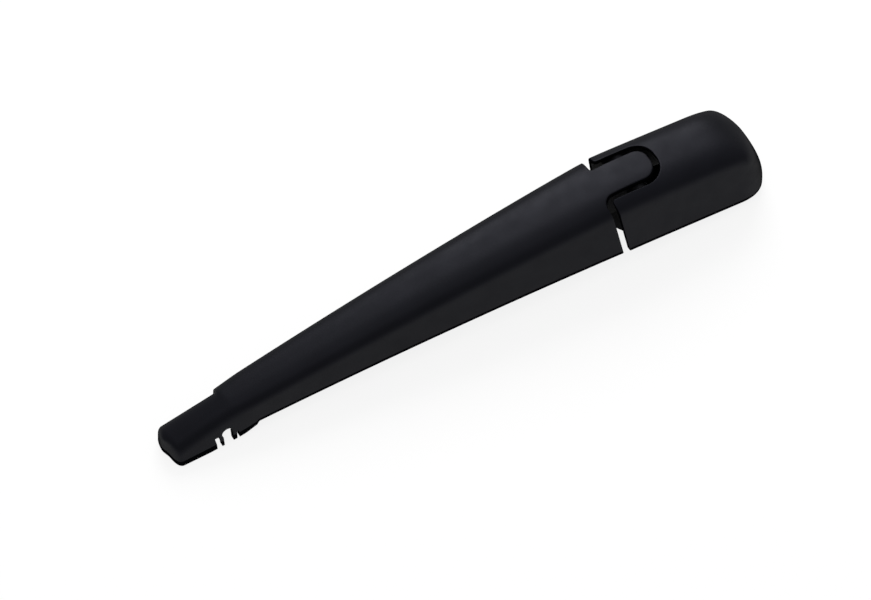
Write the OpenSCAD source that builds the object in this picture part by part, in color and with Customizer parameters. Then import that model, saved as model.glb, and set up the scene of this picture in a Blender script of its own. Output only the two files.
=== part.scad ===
/* [Head] */
// Width of the head cap across its bottom edges
head_w = 33; // [31:0.5:37]
// Height of the head cap from its bottom edge to its crest
head_h = 29.7; // [28:0.1:34]
// Length of the head cap from the gap to its rear end
head_len = 69.8; // [66:0.2:80]
// Forward rise of the cap's bottom edge, in degrees
head_pitch = 5.9; // [4:0.1:7]
// Height of the cap's bottom edge at the gap
gap_z = 9.4; // [9:0.1:11]

/* [Arm] */
// Length of the arm from the gap to its tip
arm_len = 195.5; // [170:0.5:235]
// Width of the arm where it meets the blade block
neck_w = 17.6; // [16:0.1:20]
// Height of the arm where it meets the blade block
neck_h = 14.3; // [13:0.1:16.5]
// Fall of the arm's bottom edge toward the tip, in degrees
arm_fall = 1.9; // [1:0.1:2.5]
// Upward bow of the arm's bottom edge at mid length
arm_bow = 2.5; // [0:0.1:4]
// Thickness of the moulded walls
wall = 2.2; // [1.8:0.1:2.4]

/* [Gap] */
// Width of the gap between arm and cap
gap_w = 2.6; // [2:0.1:3]
// Backward lean of the gap, in degrees
gap_lean = 10.5; // [9:0.5:12]
// How much farther back the gap crosses the left wall than the right wall
gap_skew = 3.4; // [0:0.1:4]
// How much wider the gap is across the left wall
gap_flare = 0.5; // [0:0.1:1]
// Corner radius where the gap turns along the tongue on the right
root_r = 3; // [2.5:0.1:4]
// Corner radius where the gap turns along the tongue on the left
left_root_r = 1.2; // [0.8:0.1:2]
// Half width of the tongue, to the middle of the gap
tongue_r = 8.1; // [7.5:0.1:9]
// Length of the tongue behind the gap
tongue_len = 25.6; // [24:0.1:27]
// Radius of the tongue's left corner
tongue_corner = 5.9; // [5:0.1:7]

/* [Blade clip] */
// Width of the blade block at its far end
tip_w = 17.6; // [16:0.1:18.5]
// Radius of the blade pin seat
clip_r = 2.5; // [2.2:0.05:2.8]
// Distance of the blade pin seat from the tip
clip_back = 23.4; // [22:0.1:24.5]

/* [Spindle] */
// Radius of the boss on the drive spindle
boss_r = 11.5; // [10.5:0.1:12]
// Height of the boss
boss_h = 15; // [13.5:0.5:16]
// Radius of the mouth of the spindle bore
bore_r = 5.2; // [4.5:0.1:6]
// Radius of the stud hole above the cone
stud_r = 4.2; // [3.5:0.1:4.4]

/* [Hinge] */
// Radius of the hinge pin
pin_r = 2.5; // [2.2:0.05:2.6]
// Radius of the spring pins
spring_pin_r = 2; // [1.6:0.05:2.2]
// Distance from the spring pin in the head to the anchor pin
spring_span = 65; // [60:0.5:72]
// Outside radius of the tension spring
spring_r = 4.1; // [3.6:0.1:4.3]
// Wire diameter of the tension spring
wire_d = 1.3; // [1:0.1:1.4]

/* [Hidden] */
$fn = 64;
fit = 0.05;

// The gap crosses the bottom edges at gap_x, and the spindle stands at the origin.
rear_x = 20;
gap_x = rear_x - head_len;
sides = 24;
shoulder_w = head_w / 2 - 2.2;
shoulder_h = head_h * 0.748;
corner = 2.77;
blend = 8;
taper_len = arm_len - 35.5;
bow_len = arm_len - 15.5;

// Faces of the arm's hinge ears, sides of the lug between them, and inner face of the cap's ears.
ear_out = tongue_r - gap_w / 2 - 0.2;
ear_in = ear_out - 1.8;
lug_y = ear_in - 0.2;
cap_ear_in = tongue_r + gap_w / 2 + 0.1;

// Hinge axis, and the spring pin below and ahead of it.
hinge_x = gap_x + 9.8;
hinge_z = gap_z + 22.5;
spring_x = hinge_x - 9;
spring_z = hinge_z - 8.9;
anchor_x = spring_x - spring_span;
anchor_z = spring_z;
tip_x = gap_x - arm_len;
clip_x = tip_x + clip_back;
clip_z = 6.6;

// Rear end of the cap.
end_a = 17;
end_top = 6.9;
end_n = 2.5;
end_u = end_a - head_len;
drop_u = end_u + 12;
drop = 0.5;

function mix(a, b, t) = a + (b - a) * t;
function clamp(v) = min(1, max(0, v));

// Distance u runs along the top from the gap: positive to the tip, negative to the rear.
function fore(u) = (u + sqrt(u * u + blend * blend)) / 2;
function aft(u) = u - fore(u);
function lean(u) = head_pitch * clamp(1 - fore(u) / bow_len);
function bow(u) = 4 * arm_bow * (fore(u) / bow_len) * (1 - fore(u) / bow_len);
function axis_x(u) = gap_x - fore(u) - aft(u) * cos(head_pitch);
function axis_z(u) = gap_z + aft(u) * sin(head_pitch) - fore(u) * tan(arm_fall) + bow(u);
function along(u) = fore(u) / taper_len;

// Half width at the bottom, half width and height at the shoulder, height at the crest.
function half_b(u) = lookup(fore(u), [[0, head_w / 2], [taper_len, neck_w / 2], [arm_len, tip_w / 2]]);
function half_s(u) = lookup(fore(u), [
    [0, shoulder_w], [taper_len, neck_w / 2 - 0.6], [arm_len - 25, tip_w / 2 - 1.9], [arm_len, tip_w / 2 - 2.2]
]);
function high_s(u) = mix(shoulder_h, neck_h * 0.6, along(u)) - step_down(u) * 0.9;
function high_c(u) = mix(head_h, neck_h, along(u)) - step_down(u);
function skirt(u) = lookup(u - arm_len, [[-37.5, 0], [-30, 3], [0, 2]]);
function step_down(u) = lookup(u - arm_len, [[-27, 0], [-25.2, 2.6], [0, 2.6]]);

// Section from one bottom edge over the crest to the other, as pairs of width and height.
function arch(b, s, hs, h, low) = concat(
    [[b, -low]],
    [for (i = [0:sides])
        let (a = 180 * i / sides,
             z = hs + (h - hs) * pow(sin(a), 2 / corner),
             c = cos(a),
             y = sign(c) * pow(abs(c), 2 / corner) * s * (1 + (b / s - 1) * (h - z) / h))
        [y, z]],
    [[-b, -low]]
);

function sink(u) = 1 - drop * pow(clamp((drop_u - u) / (end_a + 12)), 2.5);
function place(u, y, z) = [
    axis_x(u) + z * sink(u) * sin(lean(u)), y, axis_z(u) + z * sink(u) * cos(lean(u))
];

// One station of the arm, set in by w, with its width and height scaled for the rounded tip.
function arm_row(u, w, wide = 1, tall = 1) = [
    for (p = arch(half_b(u) - w, half_s(u) - w, high_s(u) * tall, high_c(u) * tall - w, skirt(u)))
        place(u, p[0] * wide, p[1])
];

// One station of the cap's rounded rear end, at the plan angle f. It reaches less far the higher it is.
function end_row(f, w) = [
    for (p = arch(head_w / 2 - w, shoulder_w - w, shoulder_h, head_h - w, 0))
        let (t = p[1] / (head_h - w), n = mix(end_n, 2, t), reach = mix(end_a - w, end_top - w / 2, pow(t, end_n)))
            place(end_u - reach * pow(sin(f), 2 / n), p[0] * pow(cos(f), 2 / n), p[1])
];
function cap_row(u, w) = [
    for (p = arch(head_w / 2 - w, shoulder_w - w, shoulder_h, head_h - w, 0)) place(u, p[0], p[1])
];

arm_stations = [
    -30, -22, -15, -10, -6, -3, 0, 3, 6, 10, 15, 22, 32, 44, 56, 68, 80, 92, 104, 116, 128, 140,
    taper_len - 8, taper_len - 3, taper_len, taper_len + 4.5, taper_len + 7.5, taper_len + 10,
    taper_len + 17, taper_len + 25, taper_len + 31
];
tip_angles = [24, 42, 56, 68, 78];
cap_stations = [9, 6, 3, 0, -3, -6, -10, -15, -22, -34, drop_u, drop_u - 4, drop_u - 8, end_u];
end_angles = [10, 20, 30, 40, 50, 59, 67, 74, 80, 85];

// A moulded shell between two sets of stations, open below and at its first station.
// Stations that run toward the tip are turned over, so that every face looks outward.
module shell(outer, inner, turn = false) {
    n = len(outer);
    m = len(outer[0]);
    points = concat([for (r = outer) each r], [for (r = inner) each r]);
    function o(i, j) = i * m + j;
    function c(i, j) = n * m + i * m + j;
    half = (m - 1) / 2;
    faces = concat(
        [for (i = [0:n - 2], j = [0:m - 2]) [o(i, j), o(i + 1, j), o(i + 1, j + 1)]],
        [for (i = [0:n - 2], j = [0:m - 2]) [o(i, j), o(i + 1, j + 1), o(i, j + 1)]],
        [for (i = [0:n - 2], j = [0:m - 2]) [c(i, j), c(i + 1, j + 1), c(i + 1, j)]],
        [for (i = [0:n - 2], j = [0:m - 2]) [c(i, j), c(i, j + 1), c(i + 1, j + 1)]],
        [for (j = [0:m - 2]) [o(0, j), o(0, j + 1), c(0, j + 1)]],
        [for (j = [0:m - 2]) [o(0, j), c(0, j + 1), c(0, j)]],
        [for (i = [0:n - 2]) [o(i, 0), c(i, 0), c(i + 1, 0)]],
        [for (i = [0:n - 2]) [o(i, 0), c(i + 1, 0), o(i + 1, 0)]],
        [for (i = [0:n - 2]) [o(i, m - 1), c(i + 1, m - 1), c(i, m - 1)]],
        [for (i = [0:n - 2]) [o(i, m - 1), o(i + 1, m - 1), c(i + 1, m - 1)]],
        [for (j = [0:half - 1]) [o(n - 1, j), o(n - 1, m - 1 - j), o(n - 1, j + 1)]],
        [for (j = [0:half - 2]) [o(n - 1, j + 1), o(n - 1, m - 1 - j), o(n - 1, m - 2 - j)]],
        [for (j = [0:half - 1]) [c(n - 1, j), c(n - 1, j + 1), c(n - 1, m - 1 - j)]],
        [for (j = [0:half - 2]) [c(n - 1, j + 1), c(n - 1, m - 2 - j), c(n - 1, m - 1 - j)]],
        [[o(n - 1, 0), c(n - 1, 0), c(n - 1, m - 1)], [o(n - 1, 0), c(n - 1, m - 1), o(n - 1, m - 1)]]
    );
    polyhedron(points, turn ? [for (f = faces) [f[2], f[1], f[0]]] : faces);
}

// Plan of everything on the arm's side of the gap, widened by g.
module arm_side(g) {
    r = tongue_r + g;
    left = gap_skew + g * (1 + gap_flare / gap_w);
    round_x = tongue_len - tongue_r;
    corner_x = tongue_len - tongue_corner;
    corner_y = tongue_r - tongue_corner;
    translate([-arm_len - 40, -40]) square([arm_len + 40 + g, 40]);
    translate([-arm_len - 40, 0]) square([arm_len + 40 + left, 40]);
    translate([-1, -r]) square([round_x + 1, 2 * r]);
    translate([round_x, 0]) circle(r);
    translate([corner_x, corner_y]) circle(tongue_corner + g);
    translate([round_x - 1, 0]) square([corner_x - round_x + 1, r]);
    translate([round_x - 1, 0]) square([tongue_r + g + 1, corner_y]);
    difference() {
        translate([left - 0.5, r - 0.5]) square(left_root_r + 0.5);
        translate([left + left_root_r, r + left_root_r]) circle(left_root_r);
    }
    difference() {
        translate([g - 0.5, g - r - root_r]) square([root_r - g + 0.5, root_r - g + 0.5]);
        translate([root_r, -tongue_r - root_r]) circle(root_r - g);
    }
}
module arm_zone(g) {
    translate([gap_x, 0, gap_z])
        rotate([0, -gap_lean, 0])
        translate([0, 0, -70])
        linear_extrude(140) arm_side(g);
}

// A cylinder across the part, centred on its axis point.
module across(r, x, z, y0, y1) {
    translate([x, y0, z]) rotate([-90, 0, 0]) cylinder(r = r, h = y1 - y0);
}

// A plate standing across Y, from an outline of X and Z.
module upright(y0, y1) {
    translate([0, y1, 0]) rotate([90, 0, 0]) linear_extrude(y1 - y0) children();
}

// Height of the skin's outside above z = 0 on the centre line, at u from the gap.
function crest(u) = place(u, 0, high_c(u));

// Outline under the arm's skin: two stiffening ribs that end in the hinge ears.
module ear_rib() {
    top = [for (u = [-10:4:26]) [crest(u)[0], crest(u)[2] - wall * 0.75]];
    upright(ear_in, ear_out) polygon(concat(top, [
        [gap_x - 31, crest(26)[2] - 5],
        [gap_x - 8, hinge_z - 5],
        [hinge_x, hinge_z - 4.9],
        [hinge_x + 4.6, hinge_z - 1.6],
        [hinge_x + 4.9, hinge_z + 1]
    ]));
    across(4.9, hinge_x, hinge_z, ear_in, ear_out);
}

// A cross rib in the arm at u, clear below the skin's rounded shoulders.
module cross_rib(u, depth) {
    b = half_b(u) - 0.9;
    s = half_s(u) - 1.1;
    z = axis_z(u);
    zs = high_s(u);
    zc = high_c(u);
    lo = zc - depth;
    translate([axis_x(u), 0, z])
        rotate([90, 0, -90])
        linear_extrude(1.6)
        polygon([
            [-mix(b, s, lo / zc), lo], [-s, zs], [-s * 0.8, mix(zs, zc, 0.64)], [-s * 0.5, zc - wall * 0.7],
            [s * 0.5, zc - wall * 0.7], [s * 0.8, mix(zs, zc, 0.64)], [s, zs], [mix(b, s, lo / zc), lo]
        ]);
}

// The snap notch for the blade pin, with a slit on each side that leaves two thin fingers.
module clip_cut() {
    zb = 1;
    upright(-20, 20) {
        translate([clip_x - 2, -3]) square([4, clip_z + 3]);
        polygon([
            [clip_x - 5.1, -3], [clip_x - 2.9, -3], [clip_x - 2.9, zb + 1],
            [clip_x - 4.1, zb + 5.6], [clip_x - 5.6, zb + 5.6], [clip_x - 5.1, zb + 2]
        ]);
        polygon([
            [clip_x + 3.2, -3], [clip_x + 4.6, -3], [clip_x + 4.6, zb + 2],
            [clip_x + 4.5, zb + 4.2], [clip_x + 3.7, zb + 4.2]
        ]);
    }
    across(clip_r, clip_x, clip_z, -20, 20);
}

module arm_shell() {
    outer = concat(
        [for (u = arm_stations) arm_row(u, 0)],
        [for (a = tip_angles)
            arm_row(arm_len - 3.2 + 3.2 * pow(sin(a), 2 / 2.5), 0, pow(cos(a), 2 / 2.5), 1 - 0.2 * (1 - cos(a)))]
    );
    inner = concat(
        [for (u = arm_stations) arm_row(min(u, arm_len - 3.6), wall)],
        [for (a = tip_angles)
            arm_row(arm_len - 3.4 + pow(sin(a), 2 / 2.5), wall, pow(cos(a), 2 / 2.5), 1 - 0.2 * (1 - cos(a)))]
    );
    anchor_w = half_s(hinge_x - anchor_x) - 1;
    color("#1e2026") difference() {
        union() {
            intersection() {
                shell(outer, inner, true);
                arm_zone(-gap_w / 2);
            }
            for (s = [0, 1]) mirror([0, s, 0]) {
                ear_rib();
                across(4, anchor_x, anchor_z, anchor_w - 4, anchor_w);
            }
            cross_rib(arm_len * 0.47, 7);
            cross_rib(arm_len * 0.6, 6.5);
            cross_rib(arm_len * 0.73, 6);
        }
        across(pin_r + 0.9, hinge_x, hinge_z, -ear_out - 1, ear_out + 1);
        across(4.1, hinge_x, hinge_z, 0.05 - ear_in, ear_in - 0.05);
        across(spring_pin_r, anchor_x, anchor_z, 1.5 - anchor_w, anchor_w - 1.5);
        clip_cut();
    }
}

// An ear under the cap's skin that snaps over one end of the hinge pin.
module cap_ear() {
    top = crest(-6)[2] - wall * 0.8;
    across(3.9, hinge_x, hinge_z, cap_ear_in, 11.8);
    upright(cap_ear_in, 11.8) polygon([
        [hinge_x - 3.9, hinge_z], [hinge_x + 3.9, hinge_z],
        [hinge_x + 7, top - 2.6], [hinge_x - 6, top - 2]
    ]);
}

// A low stiffening rib across the inside of the cap.
module cap_rib(u) {
    s = shoulder_w - 1.1;
    translate([axis_x(u) + 3, 0, axis_z(u)])
        rotate([90, 0, -90])
        linear_extrude(1.6)
        polygon([
            [-s, shoulder_h - 3], [-s, shoulder_h], [-s * 0.8, mix(shoulder_h, head_h, 0.6)],
            [-s * 0.5, head_h - wall * 0.8], [s * 0.5, head_h - wall * 0.8],
            [s * 0.8, mix(shoulder_h, head_h, 0.6)], [s, shoulder_h], [s, shoulder_h - 3],
            [s - 2, shoulder_h + 1], [0, head_h - 4.5], [2 - s, shoulder_h + 1]
        ]);
}

module head_cap() {
    outer = concat([for (u = cap_stations) cap_row(u, 0)], [for (f = end_angles) end_row(f, 0)]);
    inner = concat([for (u = cap_stations) cap_row(u, wall)], [for (f = end_angles) end_row(f, wall)]);
    color("#20222a") difference() {
        union() {
            difference() {
                shell(outer, inner);
                arm_zone(gap_w / 2);
            }
            for (s = [0, 1]) mirror([0, s, 0]) cap_ear();
            cap_rib(-30);
            cap_rib(-42);
        }
        across(pin_r + fit, hinge_x, hinge_z, -11.4, 11.4);
    }
}

// Cast head: a boss for the drive spindle, a foot, and an upright lug for the hinge.
module mounting_head() {
    color("#2c2e32") difference() {
        union() {
            cylinder(r = boss_r, h = boss_h);
            translate([0, 0, 2]) linear_extrude(9) polygon([
                [0, -boss_r], [hinge_x + 16, -12], [hinge_x + 7, -7], [hinge_x + 7, 7],
                [hinge_x + 16, 12], [0, boss_r]
            ]);
            upright(-lug_y, lug_y) polygon([
                [-6, 2], [hinge_x + 12, 2], [hinge_x - 4, 5], [spring_x - 3.6, spring_z - 6.5],
                [spring_x - 3.6, spring_z], [spring_x, spring_z + 3.6], [hinge_x - 3.6, hinge_z + 0.6],
                [hinge_x + 3.4, hinge_z - 2], [hinge_x + 9, hinge_z - 14.5], [-9, boss_h - 1]
            ]);
            across(3.7, hinge_x, hinge_z, -lug_y, lug_y);
            across(3.8, spring_x, spring_z, -lug_y, lug_y);
        }
        translate([0, 0, -1]) cylinder(r = bore_r, h = 4);
        translate([0, 0, 3]) cylinder(r1 = bore_r, r2 = stud_r, h = boss_h - 8);
        translate([0, 0, boss_h - 5.5]) cylinder(r = stud_r, h = 8);
        across(pin_r, hinge_x, hinge_z, -6, 6);
        across(spring_pin_r, spring_x, spring_z, -6, 6);
        translate([spring_x - 9, -1.6, spring_z - 5.2]) cube([14.4, 3.2, 10.4]);
    }
}

module hinge_pin() {
    color("#3a3c40") across(pin_r, hinge_x, hinge_z, -11.2, 11.2);
}

// Bush in an ear of the arm.
module hinge_bush() {
    color("#5a4a30") difference() {
        across(pin_r + 0.9, hinge_x, hinge_z, ear_in, ear_out);
        across(pin_r + fit, hinge_x, hinge_z, ear_in - 1, ear_out + 1);
    }
}
module hinge_bush_left() {
    hinge_bush();
}
module hinge_bush_right() {
    mirror([0, 1, 0]) hinge_bush();
}

// Spacer sleeve between the arm's ear and the cap's ear.
module spacer() {
    color("#26282c") difference() {
        across(pin_r + 1.4, hinge_x, hinge_z, ear_out + 0.4, cap_ear_in - 0.3);
        across(pin_r + fit, hinge_x, hinge_z, ear_out, cap_ear_in);
    }
}
module spacer_left() {
    spacer();
}
module spacer_right() {
    mirror([0, 1, 0]) spacer();
}

module head_spring_pin() {
    color("#3a3c40") across(spring_pin_r, spring_x, spring_z, -lug_y, lug_y);
}
module anchor_pin() {
    w = half_s(hinge_x - anchor_x) - 2.6;
    color("#3a3c40") across(spring_pin_r, anchor_x, anchor_z, -w, w);
}

// Steel link from the head's spring pin to the spring.
module spring_link() {
    color("#9a9da2") upright(-1.4, 1.4) difference() {
        union() {
            translate([spring_x, spring_z]) circle(3.6);
            translate([spring_x - 15, spring_z]) circle(2.9);
            translate([spring_x - 15, spring_z - 2.2]) square([15, 4.4]);
        }
        translate([spring_x, spring_z]) circle(spring_pin_r + fit);
        translate([spring_x - 15.2, spring_z]) circle(1.25);
    }
}

// Tension spring: one wire that hooks through the link, coils closely, and hooks over the anchor pin.
coil_x = spring_x - 21;
coil_len = spring_span - 27;
coil_turns = floor(coil_len / (wire_d * 1.12));
coil_steps = 10;
wire_sides = 6;
function unit(v) = v / norm(v);
module tension_spring() {
    r = spring_r - wire_d / 2;
    q = wire_d / 2;
    n = coil_turns * coil_steps;
    wrap = spring_pin_r + q + 0.02;
    path = concat(
        [for (a = [-120:20:120]) [spring_x - 18.2 + 2.82 * cos(a), 2.82 * sin(a), 0]],
        [[coil_x + 0.2, r - 0.6, 0]],
        [for (i = [0:n]) let (a = 360 * i / coil_steps) [coil_x - coil_len * i / n, r * cos(a), r * sin(a)]],
        [[coil_x - coil_len - 0.8, r * 0.6, r * 0.5], [coil_x - coil_len - 1.9, r * 0.15, wrap * 0.8]],
        [for (a = [90:20:290]) [anchor_x + wrap * cos(a), 0, wrap * sin(a)]]
    );
    last = len(path) - 1;
    ways = [for (i = [0:last]) unit(path[min(i + 1, last)] - path[max(i - 1, 0)])];
    sides = [for (i = 0, v = [0, 0, 1]; i <= last;
        i = i + 1, v = i > last ? v : unit(v - (v * ways[i]) * ways[i])) v];
    m = wire_sides;
    points = [for (i = [0:last], j = [0:m - 1])
        let (v = unit(sides[i] - (sides[i] * ways[i]) * ways[i]), w = cross(ways[i], v), a = 360 * j / m)
        path[i] + q * (cos(a) * v + sin(a) * w)];
    faces = concat(
        [for (i = [0:last - 1], j = [0:m - 1]) [i * m + j, (i + 1) * m + (j + 1) % m, i * m + (j + 1) % m]],
        [for (i = [0:last - 1], j = [0:m - 1]) [i * m + j, (i + 1) * m + j, (i + 1) * m + (j + 1) % m]],
        [[for (j = [0:m - 1]) j]],
        [[for (j = [m - 1:-1:0]) last * m + j]]
    );
    color("#b4b6b8") translate([0, 0, spring_z]) polyhedron(points, faces);
}

arm_shell();
head_cap();
mounting_head();
hinge_pin();
hinge_bush_left();
hinge_bush_right();
spacer_left();
spacer_right();
head_spring_pin();
spring_link();
tension_spring();
anchor_pin();
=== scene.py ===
import math

import bmesh
import bpy
import numpy as np
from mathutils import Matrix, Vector
from mathutils.geometry import delaunay_2d_cdt


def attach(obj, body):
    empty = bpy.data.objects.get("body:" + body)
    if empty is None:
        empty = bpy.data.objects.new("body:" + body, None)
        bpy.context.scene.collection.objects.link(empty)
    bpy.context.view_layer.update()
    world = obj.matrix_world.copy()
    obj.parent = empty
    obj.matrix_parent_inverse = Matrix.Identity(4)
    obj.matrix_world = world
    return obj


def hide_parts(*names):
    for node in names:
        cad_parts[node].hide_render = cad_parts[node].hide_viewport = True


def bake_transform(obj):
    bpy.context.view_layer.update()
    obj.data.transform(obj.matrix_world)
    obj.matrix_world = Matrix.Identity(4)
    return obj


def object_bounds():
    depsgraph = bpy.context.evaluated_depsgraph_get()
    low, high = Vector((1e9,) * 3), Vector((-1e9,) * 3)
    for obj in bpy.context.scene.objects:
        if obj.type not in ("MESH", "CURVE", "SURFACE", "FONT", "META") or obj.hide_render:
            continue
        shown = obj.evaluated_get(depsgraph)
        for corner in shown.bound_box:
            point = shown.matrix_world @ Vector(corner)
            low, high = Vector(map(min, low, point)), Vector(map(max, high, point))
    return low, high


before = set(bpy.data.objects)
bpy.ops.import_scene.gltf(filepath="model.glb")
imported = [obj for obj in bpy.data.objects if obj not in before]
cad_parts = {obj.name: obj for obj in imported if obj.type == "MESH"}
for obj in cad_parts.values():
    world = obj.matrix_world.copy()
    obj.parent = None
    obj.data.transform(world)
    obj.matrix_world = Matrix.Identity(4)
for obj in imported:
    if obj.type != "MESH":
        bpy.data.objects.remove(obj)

cad_low, cad_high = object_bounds()
MM = 0.001

# Sizes in millimetres, the same as in the CAD source.
HEAD_W, HEAD_H, HEAD_LEN, PITCH, GAP_Z = 33, 29.7, 69.8, math.radians(5.9), 9.4
ARM_LEN, NECK_W, NECK_H, FALL, ARM_BOW, WALL = 195.5, 17.6, 14.3, math.radians(1.9), 2.5, 2.2
GAP_W, GAP_SKEW, GAP_FLARE, LEAN = 2.6, 3.4, 0.5, math.radians(10.5)
ROOT_R, LEFT_ROOT_R, TONGUE_R, TONGUE_LEN, TONGUE_CORNER = 3, 1.2, 8.1, 25.6, 5.9
TIP_W, CLIP_R, CLIP_BACK, CLIP_Z = 17.6, 2.5, 23.4, 6.6
GAP_X = 20 - HEAD_LEN
SHOULDER_W, SHOULDER_H, CORNER, BLEND = HEAD_W / 2 - 2.2, HEAD_H * 0.748, 2.77, 8
TAPER_LEN, BOW_LEN = ARM_LEN - 35.5, ARM_LEN - 15.5
HINGE_X, HINGE_Z = GAP_X + 9.8, GAP_Z + 22.5
SPRING_X, SPRING_Z, SPRING_SPAN, SPRING_R, WIRE_D = HINGE_X - 9, HINGE_Z - 8.9, 65, 4.1, 1.3
ANCHOR_X = SPRING_X - SPRING_SPAN
CLIP_X = GAP_X - ARM_LEN + CLIP_BACK
PIN_R, SPRING_PIN_R, FIT = 2.5, 2, 0.05
END_A, END_TOP, END_N, DROP = 17, 6.9, 2.5, 0.5
END_U = END_A - HEAD_LEN
DROP_U = END_U + 12
EAR_OUT, CAP_EAR_IN = TONGUE_R - GAP_W / 2 - 0.2, TONGUE_R + GAP_W / 2 + 0.1
EAR_IN = EAR_OUT - 1.8

# Sizes in millimetres that only this script has, or that it names for itself.
EDGE, EDGE_STEPS = 0.4, 4
LIP, LIP_TIP, LIP_Q = 1.3, 0.4, 2.03
TIP_ROUND, TIP_SPAN, END_SLANT, END_SPAN = 3.2, 5, 1.05, 18
TIP_U = ARM_LEN - TIP_ROUND
EAR_R, CAP_EAR_R, CAP_EAR_OUT, BUSH_R, HINGE_ROOM_R = 4.9, 3.9, 11.8, PIN_R + 0.9, 4.1
BOSS_R, BOSS_LEN, BREAK, RIB_THICK = 4, 4, 0.25, 1.6
MOUTH, SLIT_Z, THROUGH, HOOK_ROOM = 2, 1, 20, 0.16
RING_STEPS, RING_ROOM, PATCH = (0.7, 0.3, 0), 0.4, 45


# ---------------------------------------------------------------- the shells' surfaces
# u runs along the shells from the gap, positive toward the tip and negative in the cap.
# q runs round the section, as profile() says.
def fore(u):
    """u itself toward the tip, and 0 in the cap, with a soft bend between."""
    return (u + np.sqrt(u * u + BLEND * BLEND)) / 2


def lookup(x, xs, ys, soft=0.0):
    """Straight lines through the knots, with the corners rounded over twice soft."""
    return sum(np.interp(x + soft * k, xs, ys) for k in (-1, -0.5, 0, 0.5, 1)) / 5


def lean(u):
    """The section's tilt: full in the cap, none where the arm's bow ends."""
    return PITCH * np.clip(1 - fore(u) / BOW_LEN, 0, 1)


def axis_x(u):
    return GAP_X - fore(u) - (u - fore(u)) * math.cos(PITCH)


def axis_z(u):
    f = fore(u) / BOW_LEN
    return GAP_Z + (u - fore(u)) * math.sin(PITCH) - fore(u) * math.tan(FALL) + 4 * ARM_BOW * f * (1 - f)


def half_b(u):
    """Half the width at the bottom edge."""
    return lookup(fore(u), [0, TAPER_LEN, ARM_LEN], [HEAD_W / 2, NECK_W / 2, TIP_W / 2], 3)


def half_s(u):
    """Half the width at the shoulder."""
    xs = [0, TAPER_LEN, ARM_LEN - 25, ARM_LEN]
    return lookup(fore(u), xs, [SHOULDER_W, NECK_W / 2 - 0.6, TIP_W / 2 - 1.9, TIP_W / 2 - 2.2], 2)


def high_s(u):
    """The shoulder's height."""
    return SHOULDER_H + (NECK_H * 0.6 - SHOULDER_H) * fore(u) / TAPER_LEN - 0.9 * step_down(u)


def high_c(u):
    """The crest's height."""
    return HEAD_H + (NECK_H - HEAD_H) * fore(u) / TAPER_LEN - step_down(u)


def step_down(u):
    """How far the crown slopes down over the blade block."""
    return lookup(u - ARM_LEN, [-27, 0], [0, 2.6], 0.8)


def rebate(u):
    """How far the blade block's left (far) side stands back from the arm's."""
    return lookup(u - ARM_LEN, [-25.9, -25.3, 0], [0, 1.9, 0.5], 0.1)


def skirt(u):
    """How far the walls reach below the arm's line near the tip."""
    deep = lookup(u - ARM_LEN, [-36.4, -35.6, -31, -28], [0, 1.6, 3.2, 3.5], 0.1)
    return np.minimum(deep, axis_z(u) - cad_low[2] / MM)


def profile(q, b, s, hs, h, low, inner):
    """Section point at q: 0 on the bottom face, 1 to 2 round its edge, 2 to LIP_Q its matt lip, painted darker
    as shade, 3 the shoulder,
    4 the crest, 8 the other side."""
    t = 4 - np.abs(4 - q)
    away = 1 if inner else -1
    r = 0.3 if inner else 0.5
    start = 0.5 if inner else 0.9
    turn = np.clip(t - 1, 0, 1) * math.pi / 2
    base = b + away * (np.where(t < 1, start + (r - start) * t, r * (1 - np.sin(turn))))
    z = -low + r * (1 - np.cos(turn))
    lip = LIP + LIP_TIP * low
    z = np.where(t > 2, -low + r + lip * np.clip((t - 2) / (LIP_Q - 2), 0, 1), z)
    share = np.clip((t - LIP_Q) / (3 - LIP_Q), 0, 1)
    z = np.where(t > LIP_Q, -low + r + lip + (hs + low - r - lip) * share, z)
    yhs = s * (1 + (b / s - 1) * (h - hs) / h)
    y = base + (yhs - b) * (z + low) / (hs + low)
    a = np.clip(t - 3, 0, 1) * math.pi / 2
    za = hs + (h - hs) * np.sin(a) ** (2 / CORNER)
    ya = np.abs(np.cos(a)) ** (2 / CORNER) * s * (1 + (b / s - 1) * (h - za) / h)
    y, z = np.where(t > 3, ya, y), np.where(t > 3, za, z)
    return np.where(q <= 4, y, -y), z


def place(u, y, z):
    """From the section at u into the part's frame. The cap's roof sinks toward its rear end."""
    z = z * (1 - DROP * np.clip((DROP_U - u) / (END_A + 12), 0, 1) ** 2.5)
    return np.stack([axis_x(u) + z * np.sin(lean(u)), y + 0 * u, axis_z(u) + z * np.cos(lean(u))], -1)


def arm_surface(inner):
    w = WALL if inner else 0

    def at(u, q):
        a = np.clip((u - TIP_U) / TIP_SPAN, 0, 1) * math.pi / 2
        sa, ca = np.sin(a) ** 0.8, np.abs(np.cos(a)) ** 0.8
        ca = np.where(a >= math.pi / 2 - 1e-9, 0, ca)
        # The end wall is thicker than the others, so the inner face closes earlier.
        v = np.minimum(u, ARM_LEN - 3.6) + 1.2 * sa if inner else np.minimum(u, TIP_U) + TIP_ROUND * sa
        tall = 1 - 0.2 * (1 - np.cos(a))
        y, z = profile(q, half_b(v) - w, half_s(v) - w, high_s(v) * tall, high_c(v) * tall - w,
                       skirt(v), inner)
        y = y * ca * np.where(q < 4, 1 - rebate(v) / half_b(v), 1)
        near = np.clip((2 - y) / 5, 0, 1)
        short = END_SLANT * near * near * (3 - 2 * near) * np.clip((u - TIP_U + 8) / 8, 0, 1)
        return place(v - short, y, z)
    return at


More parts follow.
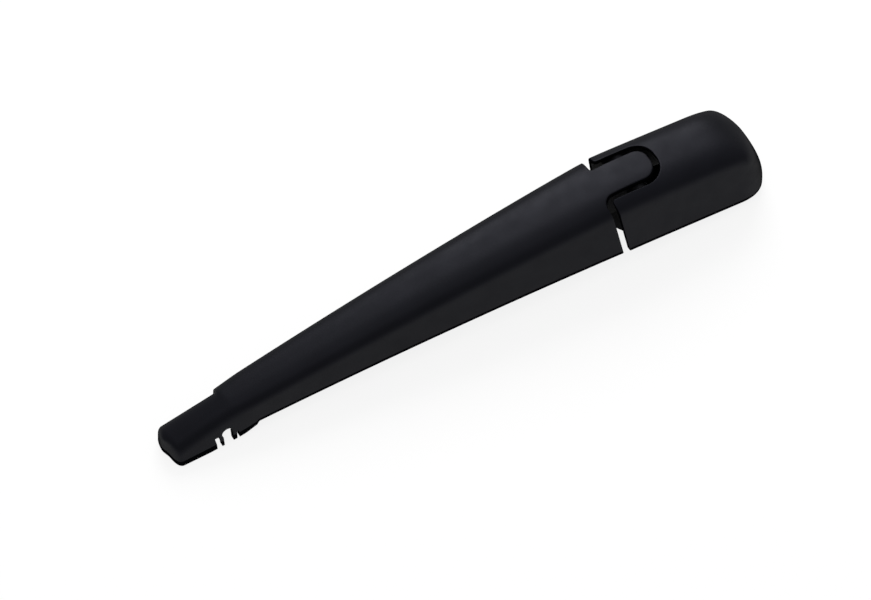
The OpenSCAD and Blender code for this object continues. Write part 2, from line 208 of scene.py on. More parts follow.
def cap_surface(inner):
    w = WALL if inner else 0

    def at(u, q):
        f = np.clip((END_U - u) / END_SPAN, 0, 1) * math.pi / 2
        y, z = profile(q, HEAD_W / 2 - w + 0 * u, SHOULDER_W - w, SHOULDER_H, HEAD_H - w, 0, inner)
        t = np.clip(z / (HEAD_H - w), 0, 1)
        n = END_N + (2 - END_N) * t
        reach = END_A - w + (END_TOP - w / 2 - END_A + w) * t ** END_N
        cf = np.where(f >= math.pi / 2 - 1e-9, 0, np.abs(np.cos(f)) ** (2 / n))
        return place(np.maximum(u, END_U) - reach * np.sin(f) ** (2 / n), y * cf, z)
    return at


# ---------------------------------------------------------------- the gap between arm and cap
def gap_p(point):
    """Distance behind the gap's straight part, square to the leaning cut."""
    return (point[..., 0] - GAP_X) * math.cos(LEAN) + (point[..., 2] - GAP_Z) * math.sin(LEAN)


def left_edge(g):
    """Where the gap's straight part lies on the left (far) wall at offset g."""
    return GAP_SKEW + g * (1 + GAP_FLARE / GAP_W)


def on_arm_side(p, y, g):
    """Whether points lie on the arm's side of the gap's curve at offset g."""
    r, at, left = TONGUE_R + g, left_edge(g), y > 0
    round_x, corner_x = TONGUE_LEN - TONGUE_R, TONGUE_LEN - TONGUE_CORNER
    corner_y = TONGUE_R - TONGUE_CORNER
    tongue = ((np.abs(y) < r) & (p < round_x)) | ((p - round_x) ** 2 + y * y < r * r)
    tongue |= (p - corner_x) ** 2 + (y - corner_y) ** 2 < (TONGUE_CORNER + g) ** 2
    tongue |= left & (y < r) & (p < corner_x) | left & (y < corner_y) & (p < TONGUE_LEN + g)
    f = LEFT_ROOT_R
    root = left & (p < at + f) & (y < r + f) & ((p - at - f) ** 2 + (y - r - f) ** 2 > f * f)
    f = max(ROOT_R - g, 0)
    root |= ~left & (p < g + f) & (-y < r + f) & ((p - g - f) ** 2 + (y + r + f) ** 2 > f * f)
    return (p < np.where(left, at, g)) | tongue | root


WALL_Q = [0, 0.5, 1, 1.33, 1.67, 2, LIP_Q] + [2 + k / 12 for k in range(1, 13)]
SHOULDER_T = [k / 9 for k in range(1, 9)]


def gap_targets(g, left):
    """Half of the curve at offset g, from the root's fillet to the tongue's middle, as pairs of p and y."""
    r, f, start, corner = TONGUE_R + g, ROOT_R - g, g, TONGUE_R
    if left:
        f, start, corner = LEFT_ROOT_R, left_edge(g), TONGUE_CORNER
    mid_p, mid_y = start + f, r + f
    out = [(mid_p - f * math.cos(a), mid_y - f * math.sin(a)) for a in np.linspace(0, math.pi / 2, 11)]
    end_p, end_y = TONGUE_LEN - corner, TONGUE_R - corner
    out += [(mid_p + (end_p - mid_p) * k / 14, r) for k in range(1, 15)]
    r = corner + g
    out += [(end_p + r * math.cos(a), end_y + r * math.sin(a)) for a in np.linspace(math.pi / 2, 0, 19)[1:]]
    steps = 4 if left else 0
    out += [(TONGUE_LEN + g, end_y * (1 - k / steps)) for k in range(1, steps + 1)]
    return np.array(out)


def solve(at, q, g, u):
    """The u at which the surface's line q crosses the straight cut at offset g."""
    for _ in range(30):
        p0, p1 = gap_p(at(u, q)), gap_p(at(u + 1e-3, q))
        u = u - np.clip((p0 - g) / ((p1 - p0) / 1e-3), -2, 2)
    return u


def solve_both(at, target):
    """The u and q at which the surface meets each target of p and y."""
    p, y = target[:, 0], target[:, 1]
    u = 4 - p
    q = 3 + np.arccos(np.clip(y / 14.5, 0, 1) ** (CORNER / 2)) / (math.pi / 2)
    q = np.clip(q, 3.05, 4)
    for _ in range(60):
        h = 1e-4
        s0, su, sq = at(u, q), at(u + h, q), at(u, np.where(q > 3.9, q - h, q + h))
        sign = np.where(q > 3.9, -h, h)
        fp, fy = gap_p(s0) - p, s0[:, 1] - y
        a, b = (gap_p(su) - gap_p(s0)) / h, (gap_p(sq) - gap_p(s0)) / sign
        c, d = (su[:, 1] - s0[:, 1]) / h, (sq[:, 1] - s0[:, 1]) / sign
        det = a * d - b * c
        det = np.where(np.abs(det) < 1e-6, 1e-6, det)
        u = u - np.clip((d * fp - b * fy) / det, -2, 2)
        q = np.clip(q - np.clip((a * fy - c * fp) / det, -0.1, 0.1), 3, 4)
    return u, q


def gap_ring(at, g):
    """The whole curve at offset g on a surface, from one bottom face to the other, as u and q."""
    halves = []
    for left in (True, False):
        ub, qb = solve_both(at, gap_targets(g, left))
        qb[-1] = 4
        qa = np.array(WALL_Q + [3 + (qb[0] - 3) * t for t in SHOULDER_T])
        ua = solve(at, qa, left_edge(g) if left else g, 0 * qa)
        halves.append((np.concatenate([ua, ub]), np.concatenate([qa, qb])))
    (u, q), (v, k) = halves
    return np.concatenate([u, v[-2::-1]]), np.concatenate([q, 8 - k[-2::-1]])


def normal(at, u, q, outward):
    """The surface's unit normal, times outward."""
    h = 1e-3
    n = np.cross(at(u + h, q) - at(u - h, q), at(u, q + h) - at(u, q - h))
    n /= np.linalg.norm(n, axis=1)[:, None] + 1e-12
    return n * outward


def sheet(at, inner, side, u_lim, rows, crown):
    """One face of a shell. side is -1 on the arm's side of the gap, 1 on the cap's.
    Returns points, faces, and the border's points: along the gap, and along each bottom edge."""
    qs = WALL_Q + [3 + k / crown for k in range(1, crown + 1)]
    qs = np.array(qs + [8 - q for q in qs[-2::-1]])
    m = len(qs)
    points, faces = [], []

    def add(p):
        first = sum(len(x) for x in points)
        points.append(np.asarray(p).reshape(-1, 3))
        return list(range(first, first + len(points[-1])))

    # The normal's sign, so that it points out of the wall.
    n = normal(at, np.array([-5.0]), np.array([3.9]), 1)[0]
    outward = math.copysign(1, n[2]) * (-1 if inner else 1)

    # Arc length along the section, which gives the flat pattern its width.
    ref = at(np.full(m, float(u_lim)), qs)
    arc = np.concatenate([[0], np.cumsum(np.linalg.norm(np.diff(ref, axis=0), axis=1))])

    half_gap = GAP_W / 2
    offsets = [side * (half_gap + EDGE + d) for d in RING_STEPS]
    rings = [gap_ring(at, g) for g in offsets]
    step = -side
    us = np.arange(u_lim - step * PATCH, u_lim + step * 0.5, step * 1.0)
    uu, qq = [a.ravel() for a in np.meshgrid(us, qs, indexing="ij")]
    surf = at(uu, qq)
    p = gap_p(surf)
    g = side * (half_gap + EDGE + RING_STEPS[0] + RING_ROOM)
    keep = on_arm_side(p, surf[:, 1], g)
    if side > 0:
        keep = ~keep
    uu, qq = uu[keep], qq[keep]
    flat_u = np.concatenate([r[0] for r in rings] + [uu])
    flat_q = np.concatenate([r[1] for r in rings] + [qq])
    flat_s = np.interp(flat_q, qs, arc)
    count = len(rings[0][0])
    outer = list(range(2 * count, 3 * count))
    base = 3 * count
    index = {(round(a, 3), round(b, 5)): base + i for i, (a, b) in enumerate(zip(uu, qq))}
    left, right = [[index[(round(a, 3), end)] for a in us if (round(a, 3), end) in index] for end in (0.0, 8.0)]
    last = [index[(round(float(u_lim), 3), round(b, 5))] for b in qs]
    loop = outer + [2 * count - 1, count - 1] + right[:-1] + last[::-1] + left[-2::-1] + [0, count]
    fixed = [(k * count + i, k * count + i + 1) for k in (0, 1) for i in range(count - 1)]
    made = delaunay_2d_cdt([Vector(v) for v in zip(flat_u, flat_s)], fixed, [loop], 1, 1e-6)
    source = [o[0] if o else None for o in made[3]]
    if None in source:
        raise RuntimeError("the flat pattern crosses itself")
    where = add(at(flat_u, flat_q))
    faces += [[where[source[v]] for v in f] for f in made[2]]

    # The rest is a plain grid, which closes on the middle plane at its last row.
    row = [where[i] for i in last]
    left_rim = [where[count * 2], where[count], where[0]] + [where[i] for i in left]
    right_rim = [where[count * 3 - 1], where[count * 2 - 1], where[count - 1]] + [where[i] for i in right]
    for i, u in enumerate(rows):
        grid = at(np.full(m, float(u)), qs)
        if i == len(rows) - 1:
            half = add(grid[: m // 2 + 1])
            new = half + half[-2::-1]
        else:
            new = add(grid)
        for j in range(m - 1):
            f = [row[j], row[j + 1], new[j + 1], new[j]]
            f = [v for k, v in enumerate(f) if v != f[k - 1]]
            if len(f) > 2:
                faces.append(f)
        row = new
        left_rim.append(new[0])
        right_rim.append(new[-1])

    # The rounded edge of the cut.
    ring = [where[i] for i in outer]
    for k in range(1, EDGE_STEPS + 1):
        a = k * math.pi / 2 / EDGE_STEPS
        u, q = gap_ring(at, side * (half_gap + EDGE * (1 - math.sin(a))))
        rim = at(u, q) - EDGE * (1 - math.cos(a)) * normal(at, u, np.clip(q, 0.01, 7.99), outward)
        new = add(rim)
        faces += [[ring[j], ring[j + 1], new[j + 1], new[j]] for j in range(count - 1)]
        ring = new
        left_rim.insert(0, new[0])
        right_rim.insert(0, new[-1])
    return np.concatenate(points), faces, ring, left_rim, right_rim


def shell(make, side, u_lim, rows, crown):
    """Both faces of a moulded shell, joined round the gap and along the bottom edges."""
    po, fo, ring_o, left_o, right_o = sheet(make(False), False, side, u_lim, rows, crown)
    pi, fi, ring_i, left_i, right_i = sheet(make(True), True, side, u_lim, rows, crown // 2)
    n = len(po)
    faces = fo + [[v + n for v in f] for f in fi]
    for a, b in ((ring_o, ring_i), (left_o, left_i), (right_o, right_i)):
        if len(a) != len(b):
            raise RuntimeError("the two faces of the shell don't match")
        faces += [[a[j], a[j + 1], b[j + 1] + n, b[j] + n] for j in range(len(a) - 1)]
    return np.concatenate([po, pi]), faces


# ---------------------------------------------------------------- meshes
def mesh_object(name, points, faces):
    """An object from points in millimetres, with close points merged and its faces turned outward."""
    me = bpy.data.meshes.new(name)
    me.from_pydata([tuple(p * MM) for p in np.asarray(points, float)], [], faces)
    bm = bmesh.new()
    bm.from_mesh(me)
    bmesh.ops.remove_doubles(bm, verts=bm.verts, dist=2e-7)
    bmesh.ops.recalc_face_normals(bm, faces=bm.faces)
    if bm.calc_volume(signed=True) < 0:
        bmesh.ops.reverse_faces(bm, faces=bm.faces)
    bm.to_mesh(me)
    bm.free()
    o = bpy.data.objects.new(name, me)
    bpy.context.scene.collection.objects.link(o)
    return o


def prism(name, outline, y0, y1, chamfer=0.0):
    """A plate across Y from an outline of x and z, with its edges broken by a small chamfer."""
    o = np.array(outline, float)
    if np.sum(o[:, 0] * np.roll(o[:, 1], -1) - np.roll(o[:, 0], -1) * o[:, 1]) < 0:
        o = o[::-1]
    nxt, prv = np.roll(o, -1, 0) - o, o - np.roll(o, 1, 0)
    nxt /= np.linalg.norm(nxt, axis=1)[:, None]
    prv /= np.linalg.norm(prv, axis=1)[:, None]
    t = nxt + prv
    t /= np.linalg.norm(t, axis=1)[:, None]
    side = np.stack([-t[:, 1], t[:, 0]], 1) / np.maximum(0.5, np.sum(t * nxt, 1))[:, None]
    small = o + side * chamfer
    n = len(o)
    layers = [(o, y0), (o, y1)]
    if chamfer:
        layers = [(small, y0), (o, y0 + chamfer), (o, y1 - chamfer), (small, y1)]
    pts = [(x, y, z) for ring, y in layers for x, z in ring]
    faces = [[k * n + i, k * n + (i + 1) % n, (k + 1) * n + (i + 1) % n, (k + 1) * n + i]
             for k in range(len(layers) - 1) for i in range(n)]
    faces += [list(range(n))[::-1], [len(pts) - n + i for i in range(n)]]
    return mesh_object(name, np.array(pts), faces)


def circle(r, x, z, n=48):
    turn = [2 * math.pi * k / n for k in range(n)]
    return [(x + r * math.cos(a), z + r * math.sin(a)) for a in turn]


def across(name, r, x, z, y0, y1, chamfer=0.0):
    """A round bar across Y."""
    return prism(name, circle(r, x, z), y0, y1, chamfer)


def rib_plate(name, x, z, yz):
    """A plate across the shell, RIB_THICK along X, from its outline in y and height."""
    n = len(yz)
    pts = [(x - d, y, z + h) for d in (0, RIB_THICK) for y, h in yz]
    faces = [[i, (i + 1) % n, n + (i + 1) % n, n + i] for i in range(n)]
    faces += [list(range(n)), list(range(n, 2 * n))]
    return mesh_object(name, np.array(pts, float), faces)


def combine(target, others, operation):
    """Joins the others to the target or cuts them from it, and removes them."""
    for other in others:
        mod = target.modifiers.new("cut", "BOOLEAN")
        mod.operation = operation
        mod.solver = "MANIFOLD"
        mod.object = other
    dg = bpy.context.evaluated_depsgraph_get()
    mesh = bpy.data.meshes.new_from_object(target.evaluated_get(dg))
    target.modifiers.clear()
    old = target.data
    target.data = mesh
    bpy.data.meshes.remove(old)
    for other in others:
        bpy.data.objects.remove(other)
    return target


def smooth(o, angle=32):
    for poly in o.data.polygons:
        poly.use_smooth = True
    o.data.set_sharp_from_angle(angle=math.radians(angle))


# ---------------------------------------------------------------- arm
arm_rows = list(np.arange(13.5, TAPER_LEN - 10, 1.5))
arm_rows += list(np.arange(TAPER_LEN - 9.5, TAPER_LEN + 14, 0.5))
arm_rows += list(np.arange(TAPER_LEN + 14.5, TIP_U, 1.0))
arm_rows += [TIP_U + TIP_SPAN * k / 18 for k in range(19)]
arm = mesh_object("arm_moulding", *shell(arm_surface, -1, 12, arm_rows, 36))


def crest(u):
    """The point of the crest at u."""
    return place(np.array(float(u)), 0, high_c(np.array(float(u))))


ears = []
for s in (-1, 1):
    top = [(crest(u)[0], crest(u)[2] - WALL * 0.75) for u in range(-10, 27, 4)]
    rib = top + [(GAP_X - 31, crest(26)[2] - 5), (GAP_X - 8, HINGE_Z - 5)]
    rib += [(HINGE_X + EAR_R * math.cos(a), HINGE_Z + EAR_R * math.sin(a))
            for a in np.radians(range(-90, 11, 10))]
    y0, y1 = sorted((EAR_IN * s, EAR_OUT * s))
    ears += [prism("ear", rib, y0, y1, BREAK), across("ear", EAR_R, HINGE_X, HINGE_Z, y0, y1, BREAK)]
anchor_w = float(half_s(np.array(HINGE_X - ANCHOR_X))) - 1
for s in (-1, 1):
    y0, y1 = sorted(((anchor_w - BOSS_LEN) * s, anchor_w * s))
    ears.append(across("boss", BOSS_R, ANCHOR_X, SPRING_Z, y0, y1, BREAK))


def cross_rib(u, depth):
    """A rib under the arm's crown that ends depth below the crest."""
    u = np.array(float(u))
    b, s, zs, zc = half_b(u) - 0.9, half_s(u) - 1.1, high_s(u), high_c(u)
    lo = zc - depth
    wide = b + (s - b) * lo / zc
    mid = zs + (zc - zs) * 0.64
    yz = [(-wide, lo), (-s, zs), (-s * 0.8, mid), (-s * 0.5, zc - WALL * 0.7),
          (s * 0.5, zc - WALL * 0.7), (s * 0.8, mid), (s, zs), (wide, lo)]
    return rib_plate("cross_rib", float(axis_x(u)), float(axis_z(u)), yz)


ears += [cross_rib(ARM_LEN * share, depth) for share, depth in ((0.47, 7), (0.6, 6.5), (0.73, 6))]
combine(arm, ears, "UNION")
cuts = [
    across("bore", BUSH_R, HINGE_X, HINGE_Z, -8, 8),
    across("room", HINGE_ROOM_R, HINGE_X, HINGE_Z, FIT - EAR_IN, EAR_IN - FIT),
    across("seat", SPRING_PIN_R, ANCHOR_X, SPRING_Z, 1.5 - anchor_w, anchor_w - 1.5),
    prism("mouth", [(CLIP_X - MOUTH, -3), (CLIP_X + MOUTH, -3), (CLIP_X + MOUTH, CLIP_Z),
                    (CLIP_X - MOUTH, CLIP_Z)], -THROUGH, THROUGH),
    across("clip", CLIP_R, CLIP_X, CLIP_Z, -THROUGH, THROUGH),
    prism("slit", [(CLIP_X - 5.1, -3), (CLIP_X - 2.9, -3), (CLIP_X - 2.9, SLIT_Z + 1),
                   (CLIP_X - 4.1, SLIT_Z + 5.6), (CLIP_X - 5.6, SLIT_Z + 5.6),
                   (CLIP_X - 5.1, SLIT_Z + 2)], -THROUGH, THROUGH),
    prism("slit", [(CLIP_X + 3.2, -3), (CLIP_X + 4.6, -3), (CLIP_X + 4.6, SLIT_Z + 2),
                   (CLIP_X + 4.5, SLIT_Z + 4.2), (CLIP_X + 3.7, SLIT_Z + 4.2)], -THROUGH, THROUGH),
]
combine(arm, cuts, "DIFFERENCE")
smooth(arm)
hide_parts("arm_shell")

# ---------------------------------------------------------------- cap
cap_rows = list(np.arange(-33.5, END_U, -1.5))
cap_rows += [END_U - END_SPAN * k / 36 for k in range(37)]
cap = mesh_object("cap_moulding", *shell(cap_surface, 1, -32, cap_rows, 36))
parts = []
for s in (-1, 1):
    top = float(crest(-6)[2]) - WALL * 0.8
    y0, y1 = sorted((CAP_EAR_IN * s, CAP_EAR_OUT * s))
    parts.append(across("ear", CAP_EAR_R, HINGE_X, HINGE_Z, y0, y1, 0.2))
    parts.append(prism("ear", [(HINGE_X - CAP_EAR_R, HINGE_Z), (HINGE_X + CAP_EAR_R, HINGE_Z),
                               (HINGE_X + 7, top - 2.6), (HINGE_X - 6, top - 2)], y0, y1))


def cap_rib(u):
    """A low rib under the cap's roof."""
    u = np.array(float(u))
    s, hs, h = SHOULDER_W - 1.1, SHOULDER_H, HEAD_H
    mid = hs + (h - hs) * 0.6
    yz = [(-s, hs - 3), (-s, hs), (-s * 0.8, mid), (-s * 0.5, h - WALL * 0.8), (s * 0.5, h - WALL * 0.8),
          (s * 0.8, mid), (s, hs), (s, hs - 3), (s - 2, hs + 1), (0, h - 4.5), (2 - s, hs + 1)]
    return rib_plate("cap_rib", float(axis_x(u)) + 3, float(axis_z(u)), yz)


combine(cap, parts + [cap_rib(-30), cap_rib(-42)], "UNION")
combine(cap, [across("bore", PIN_R + FIT, HINGE_X, HINGE_Z, -11.4, 11.4)], "DIFFERENCE")
smooth(cap)
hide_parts("head_cap")


# ---------------------------------------------------------------- spring
def tube(name, path, r, sides=12):
    """A round wire along a path."""
    path = np.array(path, float)
    way = np.gradient(path, axis=0)
    way /= np.linalg.norm(way, axis=1)[:, None]
    turn = np.linspace(0, 2 * math.pi, sides + 1)[:-1]
    v = np.array([0.0, 0, 1])
    pts = []
    for p, t in zip(path, way):
        v = v - v.dot(t) * t
        v /= np.linalg.norm(v)
        w = np.cross(t, v)
        pts += [p + r * (math.cos(a) * v + math.sin(a) * w) for a in turn]
    n = len(path)
    faces = [[i * sides + j, i * sides + (j + 1) % sides,
              (i + 1) * sides + (j + 1) % sides, (i + 1) * sides + j]
             for i in range(n - 1) for j in range(sides)]
    faces += [list(range(sides)), [(n - 1) * sides + j for j in range(sides)]]
    return mesh_object(name, np.array(pts), faces)


def curve_through(knots, steps=6):
    """A smooth line through the knots."""
    k = np.array(knots, float)
    k = np.concatenate([[2 * k[0] - k[1]], k, [2 * k[-1] - k[-2]]])
    out = []
    for i in range(1, len(k) - 2):
        a, b, c, d = k[i - 1:i + 3]
        for t in np.arange(steps) / steps:
            out.append(0.5 * (2 * b + (c - a) * t + (2 * a - 5 * b + 4 * c - d) * t ** 2
                              + (3 * b - a - 3 * c + d) * t ** 3))
    return out + [k[-2]]


coil_r = SPRING_R - WIRE_D / 2
coil_x, coil_len = SPRING_X - 21, SPRING_SPAN - 27
turns = math.floor(coil_len / (WIRE_D * 1.12))
wrap = SPRING_PIN_R + WIRE_D / 2 + HOOK_ROOM
loop_x, loop_r = SPRING_X - 18.2, 2.82
loop = [(loop_x + loop_r * math.cos(a), loop_r * math.sin(a), 0) for a in np.radians(range(-120, 121, 20))]
first = [(coil_x - coil_len * k / turns / 24, coil_r * math.cos(a), coil_r * math.sin(a))
         for k, a in enumerate(np.radians(range(0, 360 * turns + 1, 15)))]
hook = [(ANCHOR_X + wrap * math.cos(a), 0, wrap * math.sin(a)) for a in np.radians(range(90, 291, 20))]
bridge = [(coil_x - coil_len - 0.8, coil_r * 0.6, coil_r * 0.5),
          (coil_x - coil_len - 1.9, coil_r * 0.15, wrap * 0.8)]
wire = curve_through(loop + [(coil_x + 0.2, coil_r - 0.6, 0)] + first[:1])[:-1] + first
wire += curve_through(first[-1:] + bridge + hook)[1:]
spring = tube("spring_wire", np.array(wire) + [0, 0, SPRING_Z], WIRE_D / 2 - 0.01)
smooth(spring, 50)
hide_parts("tension_spring")


# ---------------------------------------------------------------- materials
def material(name, colour, roughness, metallic=0.0, specular=0.5):
    """A new material, with its tree, its shader, the object's coordinates and a function that adds nodes."""
    mat = bpy.data.materials.new(name)
    mat.use_nodes = True
    tree = mat.node_tree
    shader = tree.nodes["Principled BSDF"]
    shader.inputs["Base Color"].default_value = (*colour, 1)
    shader.inputs["Roughness"].default_value = roughness
    shader.inputs["Metallic"].default_value = metallic
    shader.inputs["Specular IOR Level"].default_value = specular
    place_at = tree.nodes.new("ShaderNodeTexCoord")

    def node(kind, **values):
        n = tree.nodes.new(kind)
        for key, value in values.items():
            if key in n.inputs:
                n.inputs[key].default_value = value
            else:
                setattr(n, key, value)
        return n

    return mat, tree, shader, place_at.outputs["Object"], node


def noise(tree, node, where, scale, detail=3.0, stretch=None):
    n = node("ShaderNodeTexNoise", Scale=scale, Detail=detail)
    if stretch:
        m = node("ShaderNodeMapping")
        m.inputs["Scale"].default_value = stretch
        tree.links.new(where, m.inputs["Vector"])
        where = m.outputs["Vector"]
    tree.links.new(where, n.inputs["Vector"])
    return n.outputs["Fac"]


def spread(tree, node, fac, low, high, start=0.3, stop=0.7):
    """Turns a noise value into a colour or number between low and high."""
    if isinstance(low, tuple):
        r = node("ShaderNodeValToRGB")
        r.color_ramp.elements[0].position, r.color_ramp.elements[1].position = start, stop
        r.color_ramp.elements[0].color, r.color_ramp.elements[1].color = (*low, 1), (*high, 1)
        tree.links.new(fac, r.inputs["Fac"])
        return r.outputs["Color"]
    r = node("ShaderNodeMapRange")
    for key, value in (("From Min", start), ("From Max", stop), ("To Min", low), ("To Max", high)):
        r.inputs[key].default_value = value
    tree.links.new(fac, r.inputs["Value"])
    return r.outputs["Result"]


def bump(tree, node, shader, height, strength, distance):
    b = node("ShaderNodeBump", Strength=strength, Distance=distance)
    tree.links.new(height, b.inputs["Height"])
    tree.links.new(b.outputs["Normal"], shader.inputs["Normal"])


def plastic(name, dark, light, rough, specular):
    """Moulded plastic with a fine grain and a soft change of colour and gloss."""
    mat, tree, shader, where, node = material(name, dark, rough, specular=specular)
    shader.inputs["Specular Tint"].default_value = (0.81, 0.82, 1, 1)
    cloud = noise(tree, node, where, 60, 4)
    tree.links.new(spread(tree, node, cloud, dark, light), shader.inputs["Base Color"])
    fine = noise(tree, node, where, 2600, 2)
    patch = noise(tree, node, where, 140, 3)
    tree.links.new(spread(tree, node, patch, rough - 0.04, rough + 0.05), shader.inputs["Roughness"])
    bump(tree, node, shader, fine, 0.12, 0.00006)

    # The fine grain of the moulding shows no bright rim where it turns away from the eye.
    rim = node("ShaderNodeLayerWeight", Blend=0.5)
    matt = node("ShaderNodeBsdfDiffuse", Color=(*dark, 1))
    both = node("ShaderNodeMixShader")
    tree.links.new(spread(tree, node, rim.outputs["Facing"], 0.0, 0.95, 0.32, 0.86), both.inputs[0])
    tree.links.new(shader.outputs[0], both.inputs[1])
    tree.links.new(matt.outputs[0], both.inputs[2])
    tree.links.new(both.outputs[0], tree.nodes["Material Output"].inputs["Surface"])
    return mat


def metal(name, dark, light, rough, grain, stretch=None, depth=0.1, metallic=1.0, specular=0.5):
    """Metal or a coated casting, with fine lines where stretch says so."""
    mat, tree, shader, where, node = material(name, dark, rough, metallic, specular)
    lines = noise(tree, node, where, grain, 4, stretch)
    cloud = noise(tree, node, where, 160, 3)
    tree.links.new(spread(tree, node, cloud, dark, light), shader.inputs["Base Color"])
    tree.links.new(spread(tree, node, lines, rough - 0.08, rough + 0.1), shader.inputs["Roughness"])
    bump(tree, node, shader, lines, depth, 0.00008)
    return mat


arm_black = plastic("arm_black", (0.0034, 0.0036, 0.0048), (0.0044, 0.0046, 0.0062), 0.42, 0.085)
cap_black = plastic("cap_black", (0.0034, 0.0036, 0.005), (0.0044, 0.0046, 0.0064), 0.42, 0.085)
# Darker and matt plastic. On the gap's cut faces and the bottom lips, its darkness is painted shade.
painted_shade_black = plastic("painted_shade_black", (0.002, 0.002, 0.0026), (0.0028, 0.0028, 0.0036), 0.6, 0)
cast = metal("cast_coated", (0.0018, 0.0018, 0.0022), (0.0032, 0.0032, 0.0037), 0.65, 900,
             depth=0.5, metallic=0, specular=0.02)
# The pins and spacer sleeves show only through the gap. Their near-black, almost glossless look is painted
# shade of the gap.
pin = metal("pin_painted_shade", (0.004, 0.004, 0.0046), (0.007, 0.007, 0.008), 0.55, 1500,
            (0.05, 3, 3), metallic=0, specular=0.04)
link = metal("link_zinc", (0.5, 0.51, 0.52), (0.62, 0.63, 0.62), 0.36, 1200, (0.2, 1, 3))
wire_steel = metal("spring_steel", (0.42, 0.43, 0.45), (0.55, 0.56, 0.58), 0.3, 1400)
bush = plastic("bush_brown", (0.035, 0.026, 0.014), (0.05, 0.037, 0.02), 0.45, 0.4)
sleeve = plastic("sleeve_painted_shade", (0.003, 0.003, 0.0035), (0.0045, 0.0045, 0.005), 0.6, 0.05)

for o, mats in ((arm, (arm_black, painted_shade_black)), (cap, (cap_black, painted_shade_black)), (spring, (wire_steel,))):
    o.data.materials.clear()
    for mat in mats:
        o.data.materials.append(mat)
    o.data.polygons.foreach_set("material_index", [0] * len(o.data.polygons))


def shaded_lip_line(at, us):
    """Height of the upper edge of the lip that carries painted shade, at a given x, as two lists."""
    edge = at(us, np.full(len(us), LIP_Q))
    order = np.argsort(edge[:, 0])
    return edge[order, 0], edge[order, 2]


# The cut faces round the gap and the lips of the bottom edges get the darker matt plastic: painted shade inside
# the gap and under the bottom edges.
for o, side, at, us in ((arm, -1, arm_surface(False), np.linspace(6, ARM_LEN + 2, 400)),
                        (cap, 1, cap_surface(False), np.linspace(6, END_U - END_SPAN, 300))):
    count = len(o.data.polygons)
    centre = np.empty(count * 3)
    o.data.polygons.foreach_get("center", centre)
    centre = centre.reshape(-1, 3) / MM
    inside = on_arm_side(gap_p(centre), centre[:, 1], side * (GAP_W / 2 + EDGE * 0.45))
    cut = ~inside if side < 0 else inside
    lip = centre[:, 2] < np.interp(centre[:, 0], *shaded_lip_line(at, us))
    o.data.polygons.foreach_set("material_index", (cut | lip).astype(int))

looks = {
    "mounting_head": cast, "hinge_pin": pin, "head_spring_pin": pin, "anchor_pin": pin, "spring_link": link,
    "hinge_bush_left": bush, "hinge_bush_right": bush, "spacer_left": sleeve, "spacer_right": sleeve,
}
for name, mat in looks.items():
    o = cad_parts[name]
    for s in o.material_slots:
        s.material = mat
    smooth(o, 30)

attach(arm, "arm")
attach(cap, "cap")
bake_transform(spring)

# ---------------------------------------------------------------- floor, light and camera
bpy.ops.mesh.primitive_plane_add(size=6, location=(-0.12, 0, cad_low[2] - 0.0002))
floor = bpy.context.object
floor.name = "floor"
mat = bpy.data.materials.new("floor_white")
mat.use_nodes = True
tree = mat.node_tree
shader = tree.nodes["Principled BSDF"]
shader.inputs["Base Color"].default_value = (0.9, 0.9, 0.9, 1)
shader.inputs["Roughness"].default_value = 0.9
path = tree.nodes.new("ShaderNodeLightPath")
seen = [path.outputs[name + " Ray"] for name in ("Is Camera", "Is Glossy", "Is Transmission")]
for other in seen[1:]:
    add = tree.nodes.new("ShaderNodeMath")
    add.operation, add.use_clamp = "ADD", True
    tree.links.new(seen[0], add.inputs[0])
    tree.links.new(other, add.inputs[1])
    seen[0] = add.outputs[0]
share = tree.nodes.new("ShaderNodeMath")
share.operation = "MULTIPLY"
share.inputs[1].default_value = 0.85
tree.links.new(seen[0], share.inputs[0])
white = tree.nodes.new("ShaderNodeEmission")
blend = tree.nodes.new("ShaderNodeMixShader")
tree.links.new(share.outputs[0], blend.inputs[0])
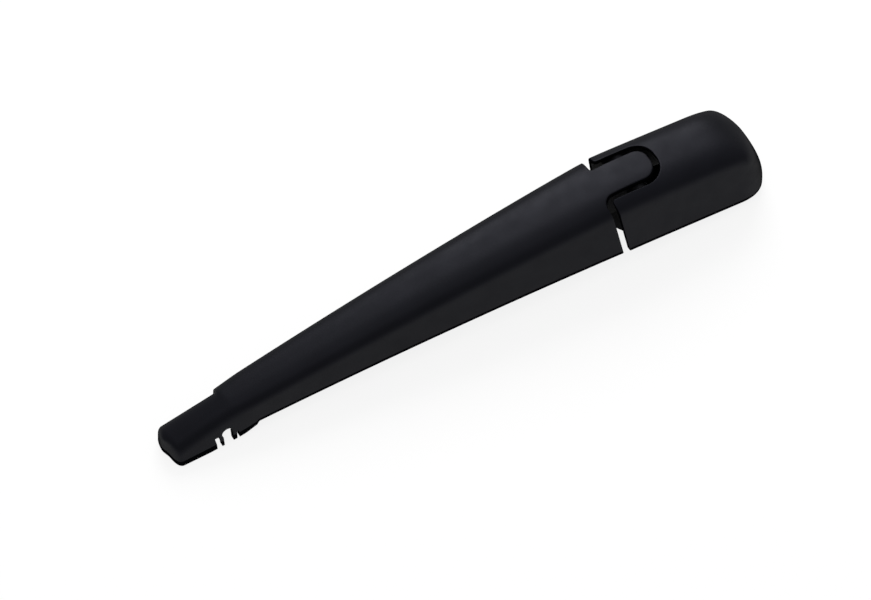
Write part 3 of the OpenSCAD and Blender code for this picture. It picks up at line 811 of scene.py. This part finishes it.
tree.links.new(shader.outputs[0], blend.inputs[1])
tree.links.new(white.outputs[0], blend.inputs[2])
tree.links.new(blend.outputs[0], tree.nodes["Material Output"].inputs["Surface"])
floor.data.materials.append(mat)

world = bpy.data.worlds.new("studio")
bpy.context.scene.world = world
world.use_nodes = True
world.node_tree.nodes["Background"].inputs["Color"].default_value = (1, 1, 1, 1)
world.node_tree.nodes["Background"].inputs["Strength"].default_value = 0.55


def lamp(name, position, target, size, energy, size_y=None):
    """A soft rectangular lamp that faces the target."""
    data = bpy.data.lights.new(name, "AREA")
    data.shape = "RECTANGLE"
    data.size, data.size_y, data.energy = size, size_y or size, energy
    o = bpy.data.objects.new(name, data)
    bpy.context.scene.collection.objects.link(o)
    o.location = position
    o.rotation_euler = (Vector(target) - Vector(position)).to_track_quat("-Z", "Y").to_euler()
    return o


middle = Vector((-0.122, 0, 0.0085))
lamp("back_softbox", (0.36, 0.92, 1.05), middle, 0.85, 18, 0.9)
lamp("top_softbox", (-0.3, -0.2, 1.6), middle, 1.2, 4)

# The camera fitted to the photo: its direction, its scale and where the arm's middle lies in the picture.
PHOTO_W, PHOTO_H, PX_PER_MM, MIDDLE_PX, SENSOR = 871, 600, 2.606, (445.24, 302.27), 36
azimuth, elevation, distance = math.radians(30.854), math.radians(55.651), 1.5
look = Vector((math.sin(azimuth) * math.cos(elevation), math.cos(azimuth) * math.cos(elevation),
               -math.sin(elevation)))
camera = bpy.data.cameras.new("camera")
camera.sensor_width = SENSOR
camera.lens = PX_PER_MM * 1000 * distance * SENSOR / PHOTO_W
camera.shift_x = -(MIDDLE_PX[0] - PHOTO_W / 2) / PHOTO_W
camera.shift_y = (MIDDLE_PX[1] - PHOTO_H / 2) / PHOTO_W
camera.clip_start, camera.clip_end = 0.05, 20
view = bpy.data.objects.new("camera", camera)
bpy.context.scene.collection.objects.link(view)
view.location = middle - look * distance
view.rotation_euler = look.to_track_quat("-Z", "Y").to_euler()
bpy.context.scene.camera = view
bpy.context.scene.view_settings.view_transform = "Standard"
